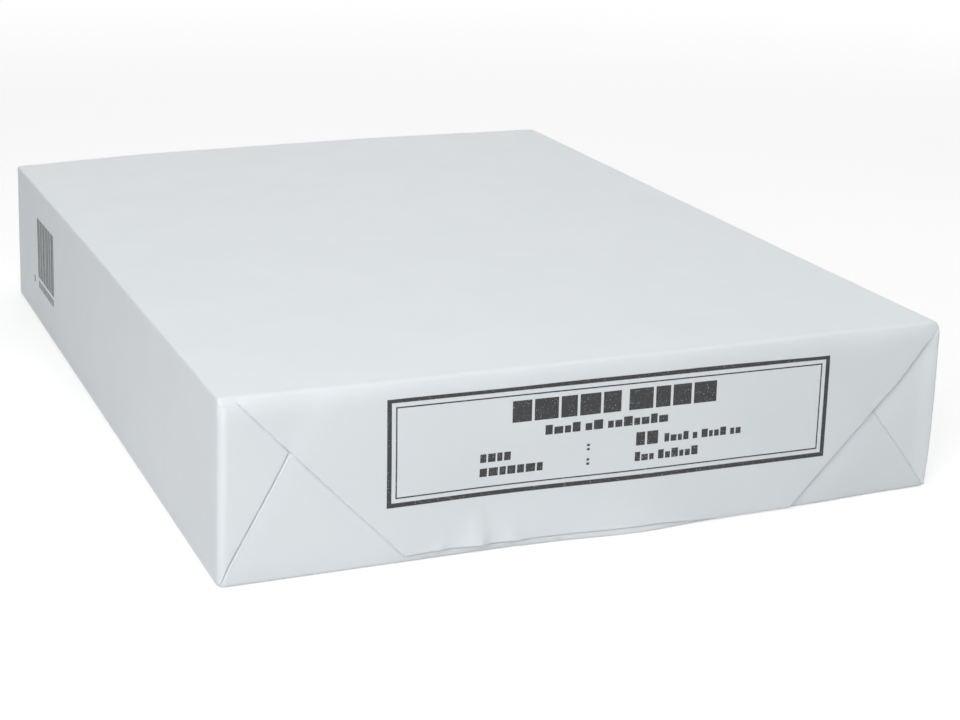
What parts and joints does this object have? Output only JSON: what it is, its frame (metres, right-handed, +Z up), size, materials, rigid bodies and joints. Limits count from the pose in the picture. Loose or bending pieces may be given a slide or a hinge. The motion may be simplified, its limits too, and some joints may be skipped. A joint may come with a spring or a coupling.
{
  "type": "ream of paper",
  "caption": "Sealed ream of copier paper: a flat block in a glued white wrapper, with folded flaps at its ends and a plain printed frame for its label.",
  "frame": {"origin": "middle of the pack's underside, on the surface that it rests on", "axes": "+Z up through the stack, Y along the sheets' length with the labelled end facing -Y, X along their width"},
  "size_m": [0.211, 0.2982, 0.0506],
  "materials": {
    "white_wrapper": "satin",
    "dark_print": "satin"
  },
  "bodies": {
    "root": {"wrapped_ream": "white_wrapper"}
  },
  "joints": []
}
